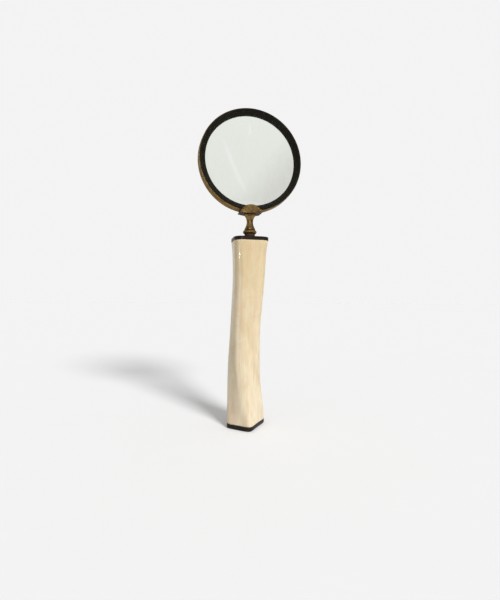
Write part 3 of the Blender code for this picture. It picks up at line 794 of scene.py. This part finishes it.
def build_stem():
    """The turned stem: collar, bead, groove, foot, hollow neck and flare, bored at both ends."""
    low, high = span("stem")
    top = high.z - low.z
    bead_radius = (high.x - low.x) / 2
    stud_low, stud_high = span("stud")
    stud_bore = (stud_high.x - stud_low.x) / 2 + CLEARANCE
    screw_bore = screw_shaft_radius() + CLEARANCE
    stud_stop = stud_high.z + CLEARANCE - low.z
    screw_stop = span("saddle_screw")[0].z - CLEARANCE - low.z
    half_bead = BEAD_HEIGHT / 2
    neck = (NECK_RADIUS, NECK_HEIGHT)
    bead_top = COLLAR_HEIGHT + BEAD_HEIGHT
    bead = arc((bead_radius - half_bead, COLLAR_HEIGHT + half_bead), half_bead, -80, 72, SWEEP_STEPS)
    groove = FOOT_RADIUS - FOOT_GROOVE
    foot = FOOT_RADIUS - FOOT_STEP
    groove_top, ring_low, ring_high, foot_low = (bead_top + level for level in FOOT_LEVELS)
    corners = [(0, stud_stop, 0), (stud_bore, stud_stop, 0.05), (stud_bore, 0, 0.2)]
    corners += [(COLLAR_RADIUS, 0, 0.2), (COLLAR_RADIUS, COLLAR_HEIGHT, 0.15), *bead]
    corners += [(groove, bead_top, 0.1), (groove, groove_top, 0.08)]
    corners += [(FOOT_RADIUS, ring_low, 0.12), (FOOT_RADIUS, ring_high, 0.2)]
    corners += [(foot, foot_low, 0.05), *reversed(sweep_out(neck, (foot, bead_top + FOOT_HEIGHT)))]
    corners += sweep_out(neck, (FLARE_RADIUS, top - FLARE_LIP))[1:]
    corners += [(FLARE_RADIUS, top, 0.25), (screw_bore, top, 0.2), (screw_bore, screw_stop, 0.05)]
    corners.append((0, screw_stop, 0))
    place = ((low.x + high.x) / 2, (low.y + high.y) / 2, low.z)
    stem = turned_piece("turned_stem", rounded(corners, False), TURNED_STEPS, place, closed=False)
    # The stem's collar is darkened with painted shade.
    brass = antique_brass("antique_brass_stem", True, CAST_GLANCE, painted_shade_collar)
    hand_over(stem, "head", "stem", brass)


def build_washer(fibre):
    low, high = span("seat_washer")
    outer = (high.x - low.x) / 2
    stud_low, stud_high = span("stud")
    bore = (stud_high.x - stud_low.x) / 2 + 2 * CLEARANCE
    top = high.z - low.z
    corners = ((bore, 0, 0.2), (outer, 0, 0.35), (outer, top, 0.35), (bore, top, 0.2))
    place = ((low.x + high.x) / 2, (low.y + high.y) / 2, low.z)
    washer = turned_piece("fibre_washer", rounded(corners), TURNED_STEPS, place)
    hand_over(washer, "washer", "seat_washer", fibre)


def build_stud(metal):
    """The stud: a right-handed thread with a lead-in below, and a plain shank above."""
    low, high = span("stud")
    crest = (high.x - low.x) / 2
    root = crest - THREAD_DEPTH
    shank_low = span("top_plate")[0].z
    first_turn = low.z - THREAD_LEAD_IN * THREAD_PITCH
    rows = int((high.z - low.z) / THREAD_PITCH * THREAD_ROWS)
    points = [(0, 0, low.z)] * THREAD_STEPS
    for row in range(rows + 1):
        height = low.z + (high.z - low.z) * row / rows
        lead = root - THREAD_TIP + (height - low.z)
        for step in range(THREAD_STEPS):
            share = step / THREAD_STEPS
            phase = (height - first_turn) / THREAD_PITCH - share - THREAD_START
            ridge = min(max(0.5 + THREAD_SWELL * math.cos(2 * math.pi * phase), 0.0), 1.0)
            thread = root + THREAD_LAND + (THREAD_DEPTH - THREAD_TRIM) * ridge
            shank = min(max((height - shank_low) / SHANK_CONE, 0.0), 1.0)
            end = crest - max(height - high.z + SHANK_BEVEL, 0)
            radius = min(thread + (crest - thread) * shank, lead, end)
            angle = 2 * math.pi * share
            points.append((radius * math.cos(angle), radius * math.sin(angle), height))
    points += [(0, 0, high.z)] * THREAD_STEPS
    place = ((low.x + high.x) / 2, (low.y + high.y) / 2, 0)
    stud = add_piece("threaded_stud", points, grid_faces(rows + 3, THREAD_STEPS, False), place)
    hand_over(stud, "head", "stud", metal)


# ---------------------------------------------------------------- handle

INNER_SHARE = 0.57      # the bore lies nearer to the middle than this share of the outline's reach
OUTLINE_CORNERS = 36    # a level with fewer corners is the end of a peg hole
PIN_ZONE = 1.8          # corners this near to a peg's axis belong to its hole


def level_points(node, height):
    """A CAD node's corners at a height, each one once."""
    points = node_points(node)
    return np.unique(np.round(points[np.abs(points[:, 2] - height) < LEVEL_TOLERANCE], 3), axis=0)


def outline_at(node, height):
    """A CAD node's outer outline at one of its levels: its middle, and its radius all round."""
    level = level_points(node, height)
    middle = (level.min(axis=0) + level.max(axis=0)) / 2
    away = level[:, :2] - middle[:2]
    reach = np.hypot(away[:, 0], away[:, 1])
    outer = reach > INNER_SHARE * reach.max()
    for pin in PINS:
        low, high = span(pin)
        from_pin = level - (low + high) / 2
        outer &= np.hypot(from_pin[:, 0], from_pin[:, 1]) > PIN_ZONE
    angles = np.arctan2(away[outer, 1], away[outer, 0])
    order = np.argsort(angles)
    apart = np.diff(angles[order], prepend=-2 * math.pi) > math.radians(1)
    reach = reach[outer][order][apart]
    angles = angles[order][apart]
    angles = np.concatenate((angles - 2 * math.pi, angles, angles + 2 * math.pi))
    even = np.linspace(-math.pi, math.pi, GRIP_COLUMNS, endpoint=False)
    return middle[0], smooth_curve(angles, np.tile(reach, 3)[:, None], even)[:, 0]


def wall_loop(middle, reach, height):
    """Points of a loop from its middle and its radius all round."""
    angles = np.linspace(-math.pi, math.pi, GRIP_COLUMNS, endpoint=False)
    return np.column_stack((middle + reach * np.cos(angles), reach * np.sin(angles),
                            np.full(GRIP_COLUMNS, height)))


def core_middle(height):
    """Middle of the leaning core at a height."""
    points = node_points("core")
    ends = []
    for level in (points[:, 2].min(), points[:, 2].max()):
        ring = points[np.abs(points[:, 2] - level) < LEVEL_TOLERANCE]
        ends.append(((ring[:, 0].min() + ring[:, 0].max()) / 2, level))
    (x_low, z_low), (x_high, z_high) = ends
    return x_low + (x_high - x_low) * (height - z_low) / (z_high - z_low)


def knife_work(points):
    """How far the carver's knife and the polisher took each point of the wall in."""
    depths = []
    for x, y, z in points:
        swell = noise.noise((x * 0.09, y * 0.09, z * 0.035))
        stroke = noise.noise((x * 0.35 + 7, y * 0.35, z * 0.05))
        depths.append(0.16 * (0.6 + swell) + 0.05 * (0.5 + stroke))
    return np.clip(depths, 0, None)


def build_grip(bone):
    """The bone sleeve: the CAD's flowing section on a fine grid, carved a little, with its bore."""
    low, high = span("grip")
    levels = [level for level in np.unique(np.round(node_points("grip")[:, 2], 2))
              if len(level_points("grip", level)) >= OUTLINE_CORNERS]
    rows = [outline_at("grip", level) for level in levels]
    middles = np.array([[middle] for middle, reach in rows])
    reaches = np.array([reach for middle, reach in rows])
    wanted = np.linspace(low.z, high.z, GRIP_ROWS)
    edge = np.minimum(wanted - low.z, high.z - wanted).clip(0, GRIP_ROUNDING)
    ends = GRIP_ROUNDING - np.sqrt(GRIP_ROUNDING**2 - (GRIP_ROUNDING - edge)**2)
    middles = smooth_curve(np.array(levels), middles, wanted)[:, 0]
    reaches = smooth_curve(np.array(levels), reaches, wanted)
    loops = []
    for height, middle, reach, inset in zip(wanted, middles, reaches, ends):
        loop = wall_loop(middle, reach, height)
        loops.append(wall_loop(middle, reach - knife_work(loop) - inset, height))
    core_low, core_high = span("core")
    bore = (core_high.y - core_low.y) / 2 + CLEARANCE
    loops += [wall_loop(core_middle(height), bore, height) for height in (high.z, low.z)]
    grip = add_piece("bone_grip", np.concatenate(loops), grid_faces(len(loops), GRIP_COLUMNS, True))
    carve(grip, [pin_hole(name) for name in PINS])
    hand_over(grip, "handle", "grip", bone)


def pin_hole(node):
    low, high = span(node)
    middle = (low + high) / 2
    radius = (high.x - low.x) / 2 + PIN_CLEARANCE
    start = low.z - PIN_CLEARANCE
    end = high.z + PIN_CLEARANCE
    outline = ((0, start), (radius, start), (radius, end), (0, end))
    place = (middle.x, middle.y, 0)
    return turned_piece(node + "_hole", outline, PIN_HOLE_STEPS, place, OFF_GRID, closed=False)


def build_plate(name, node, inner, outer, rounding, hole, pins, horn):
    """A horn end plate: the grip's end outline with a rounded outer edge, and a hole if it has one."""
    middle, reach = outline_at(node, inner)
    way = math.copysign(1, outer - inner)
    loops = [wall_loop(middle, reach - PLATE_EDGE, inner),
             wall_loop(middle, reach, inner + way * PLATE_EDGE)]
    for i in range(PLATE_ROUNDING_STEPS + 1):
        angle = math.pi / 2 * i / PLATE_ROUNDING_STEPS
        loops.append(wall_loop(middle, reach - rounding * (1 - math.cos(angle)),
                               outer - way * rounding * (1 - math.sin(angle))))
    loops.append(wall_loop(middle, reach - rounding * PLATE_SUPPORT, outer))
    if hole:
        x, radius = hole
        bevel = PLATE_HOLE_BEVEL
        loops += [wall_loop(x, radius + bevel, outer), wall_loop(x, radius, outer - way * bevel),
                  wall_loop(x, radius, inner)]
    else:
        loops += [wall_loop(middle, 0, outer), wall_loop(middle, 0, inner)]
    faces = grid_faces(len(loops), GRIP_COLUMNS, True)
    if not hole:
        inside = (len(loops) - 2) * GRIP_COLUMNS
        faces = [face for face in faces if min(face) < inside]
    plate = add_piece(name, np.concatenate(loops), faces)
    carve(plate, [pin_hole(pin) for pin in pins])
    hand_over(plate, "handle", node, horn)


def build_handle():
    build_grip(polished_bone())
    horn = dark_horn()
    top_low, top_high = span("top_plate")
    stud_low, stud_high = span("stud")
    stud_x = (stud_low.x + stud_high.x) / 2
    hole = (stud_x, (stud_high.x - stud_low.x) / 2 + 3 * CLEARANCE)
    build_plate("horn_top_plate", "top_plate", top_low.z, top_high.z, TOP_PLATE_ROUNDING, hole,
                PINS[:2], horn)
    bottom_low, bottom_high = span("bottom_plate")
    build_plate("horn_bottom_plate", "bottom_plate", bottom_high.z, bottom_low.z,
                BOTTOM_PLATE_ROUNDING, None, PINS[2:], horn)


# ---------------------------------------------------------------- pieces kept from the CAD

def dress(material, *nodes):
    for node in nodes:
        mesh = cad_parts[node].data
        mesh.materials.clear()
        mesh.materials.append(material)


def dress_kept_pieces():
    stud_low, stud_high = span("stud")
    axis = tuple((stud_low + stud_high) / 2)
    dress(gasket_rubber(), "lens_gasket_front", "lens_gasket_rear")
    dress(turned_metal("steel_fine", (0.30, 0.29, 0.28), (0.55, 0.54, 0.52), axis), "saddle_screw")
    dress(turned_metal("plain_brass_fine", (0.42, 0.29, 0.12), (0.68, 0.49, 0.22), axis), "insert")
    dress(hardwood(), "core")
    dress(polished_bone(), *PINS)


# ---------------------------------------------------------------- stage, light and camera

FLOOR_REACH = 4000
FLOOR_ALBEDO = 0.787
FLOOR_RADIANCE = 0.9
SKY_SHARE = 0.47
SUN_DIRECTION = Vector((0.50, -1.22, 1.0)).normalized()
SUN_SIZE = 18.0
SHEEN_DIRECTION = Vector((-0.22, -1.0, 0.18)).normalized()
SHEEN_ENERGY = 0.7
SHEEN_SIZE = 12.0
EDGE_DIRECTION = Vector((-1.0, -0.42, 0.15)).normalized()
EDGE_ENERGY = 3.8
EDGE_SIZE = 16.0
ROOM_FRONT = 0.10
CAMERA_AZIMUTH = -13.13
CAMERA_PITCH = 2.95
CAMERA_ROLL = 0.61
CAMERA_DISTANCE = 305.3
CAMERA_ASIDE = 0.6
CAMERA_HEIGHT = 105.1
CAMERA_LENS = 22.36
CAMERA_SHIFT = -0.0424


def build_floor():
    far = FLOOR_REACH
    floor = add_piece("floor", [(-far, -far, 0), (far, -far, 0), (far, far, 0), (-far, far, 0)],
                      [(0, 1, 2, 3)])
    recipe = Recipe("pale_floor")
    tone = recipe.noise(recipe.place, (0.02, 0.02, 0.02), 3)
    pale = FLOOR_ALBEDO
    colour = recipe.ramp(tone, (0.3, (pale * 0.988,) * 3), (0.7, (pale * 0.994,) * 3))
    matt = recipe.add("ShaderNodeBsdfDiffuse", {"Color": colour})
    output = recipe.tree.nodes["Material Output"]
    recipe.tree.links.new(matt.outputs[0], output.inputs["Surface"])
    floor.data.materials.append(recipe.material)


def set_tones():
    """Plain tones, so that the backdrop comes out at its own value."""
    bpy.context.scene.view_settings.view_transform = "Standard"


def add_sun(name, energy, direction, size, sheen):
    """Sunlight from a direction. Sheen says whether polished surfaces mirror it."""
    data = bpy.data.lights.new(name, "SUN")
    data.energy = energy
    data.angle = math.radians(size)
    light = bpy.data.objects.new(name, data)
    bpy.context.scene.collection.objects.link(light)
    light.rotation_mode = "QUATERNION"
    light.rotation_quaternion = direction.to_track_quat("Z", "Y")
    light.visible_glossy = sheen
    light.visible_transmission = False
    return light


def choose_receiver(light, piece, state):
    """The light falls on one piece only (INCLUDE), or on all but that one (EXCLUDE)."""
    chosen = bpy.data.collections.new(light.name + "_receivers")
    chosen.objects.link(piece)
    chosen.collection_objects[0].light_linking.link_state = state
    light.light_linking.receiver_collection = chosen


def build_light():
    """A broad key light and a sky whose light on the floor adds up to the backdrop's tone."""
    sun_share = FLOOR_RADIANCE * (1 - SKY_SHARE) / FLOOR_ALBEDO
    energy = math.pi * sun_share / SUN_DIRECTION.z
    add_sun("key_light", energy, SUN_DIRECTION, SUN_SIZE, False)
    sheen = add_sun("sheen_light", SHEEN_ENERGY, SHEEN_DIRECTION, SHEEN_SIZE, True)
    choose_receiver(sheen, bpy.data.objects["lens_glass"], "EXCLUDE")
    edge = add_sun("edge_light", EDGE_ENERGY, EDGE_DIRECTION, EDGE_SIZE, True)
    choose_receiver(edge, bpy.data.objects["bone_grip"], "INCLUDE")
    sheen.visible_diffuse = False
    edge.visible_diffuse = False
    world = bpy.data.worlds.new("studio")
    bpy.context.scene.world = world
    world.use_nodes = True
    studio = NodeTree(world.node_tree)
    path = studio.add("ShaderNodeLightPath").outputs
    direction = studio.split(studio.add("ShaderNodeTexCoord").outputs["Generated"])
    overhead = studio.remap(direction[2], 0.0, 0.9, ROOM_FRONT, 1.0)
    behind = studio.remap(direction[1], -0.3, 0.7, 0.0, 1.0)
    room = studio.calc("MAXIMUM", overhead, behind)
    seen = studio.calc("MULTIPLY", room, FLOOR_RADIANCE)
    mirrored = studio.calc("SUBTRACT", path["Is Glossy Ray"], path["Is Transmission Ray"])
    lit = path["Is Diffuse Ray"]
    strength = studio.add("ShaderNodeMix", {0: mirrored, 2: FLOOR_RADIANCE, 3: seen}).outputs[0]
    sky = FLOOR_RADIANCE * SKY_SHARE / FLOOR_ALBEDO
    strength = studio.add("ShaderNodeMix", {0: lit, 2: strength, 3: sky}).outputs[0]
    background = studio.tree.nodes["Background"]
    background.inputs["Color"].default_value = (1, 1, 1, 1)
    studio.fill(background.inputs["Strength"], strength)


def build_camera():
    """A wide lens near the object, a little to its left, at two thirds of the handle's height."""
    low, high = span("stud")
    axis = (low + high) / 2
    azimuth = math.radians(CAMERA_AZIMUTH)
    pitch = math.radians(CAMERA_PITCH)
    roll = math.radians(CAMERA_ROLL)
    data = bpy.data.cameras.new("camera")
    data.sensor_width = 36
    data.lens = CAMERA_LENS
    data.shift_y = CAMERA_SHIFT
    data.clip_start = 0.01
    data.clip_end = 50
    camera = bpy.data.objects.new("camera", data)
    bpy.context.scene.collection.objects.link(camera)
    place = Vector((axis.x + CAMERA_ASIDE + CAMERA_DISTANCE * math.sin(azimuth),
                    axis.y - CAMERA_DISTANCE * math.cos(azimuth), CAMERA_HEIGHT))
    camera.matrix_world = (Matrix.Translation(place * MM) @ Matrix.Rotation(azimuth, 4, "Z")
                           @ Matrix.Rotation(math.pi / 2 + pitch, 4, "X") @ Matrix.Rotation(roll, 4, "Z"))
    bpy.context.scene.camera = camera


enamel = black_enamel()
build_rim_band()
build_bezels(enamel)
build_lens(optical_glass())
build_saddle()
build_stem()
build_washer(dark_fibre())
build_stud(turned_metal("steel_thread", (0.30, 0.29, 0.28), (0.55, 0.54, 0.52)))
build_handle()
dress_kept_pieces()
build_floor()
build_light()
set_tones()
build_camera()
